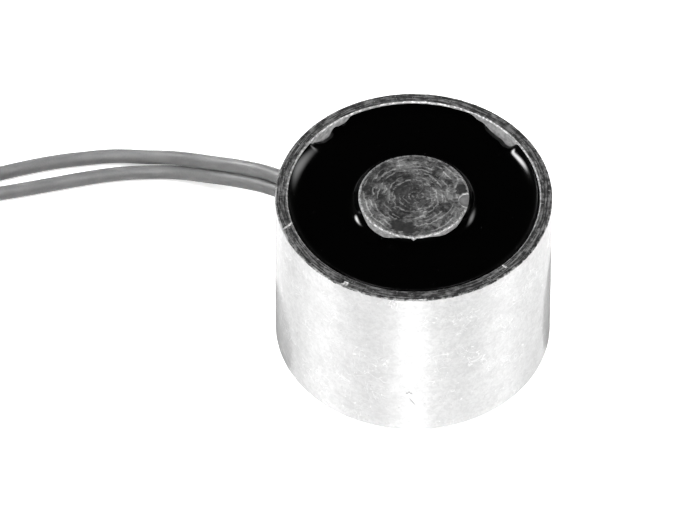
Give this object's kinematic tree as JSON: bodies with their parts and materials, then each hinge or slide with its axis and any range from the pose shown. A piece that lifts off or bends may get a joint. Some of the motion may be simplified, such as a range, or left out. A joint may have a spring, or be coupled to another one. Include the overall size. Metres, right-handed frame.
{
  "type": "holding electromagnet",
  "caption": "Round pot-type holding electromagnet: a plated steel cup and a centre core with a resin-potted coil between them, tapped at the back and fed by thin leads.",
  "frame": {"origin": "middle of the pot's base, on the surface that it stands on", "axes": "+Z along the pot's axis towards the pole face, +X to the right as the picture shows it, +Y away from the camera"},
  "size_m": [0.0593, 0.0272, 0.015],
  "materials": {
    "plated_steel": "bright plated, turned, lightly scuffed",
    "ground_steel": "turned and faced, bare",
    "nylon": "moulded, satin",
    "enamelled_copper": "gloss enamel",
    "polyester_tape": "gloss film",
    "solder": "satin",
    "sleeving": "satin",
    "potting_resin": "gloss, self-levelled",
    "lead_insulation": "satin",
    "tinned_strands": "satin",
    "tie_plastic": "satin"
  },
  "bodies": {
    "root": {"pot": "plated_steel", "core": "ground_steel", "bobbin": "nylon", "winding": "enamelled_copper", "winding_tape": "polyester_tape", "splice_1": "solder", "splice_2": "solder", "splice_sleeve_1": "sleeving", "splice_sleeve_2": "sleeving", "potting": "potting_resin", "lead_1": "lead_insulation", "lead_2": "lead_insulation", "lead_coil": "lead_insulation", "bare_end_1": "tinned_strands", "bare_end_2": "tinned_strands", "coil_tie": "tie_plastic"}
  },
  "joints": []
}
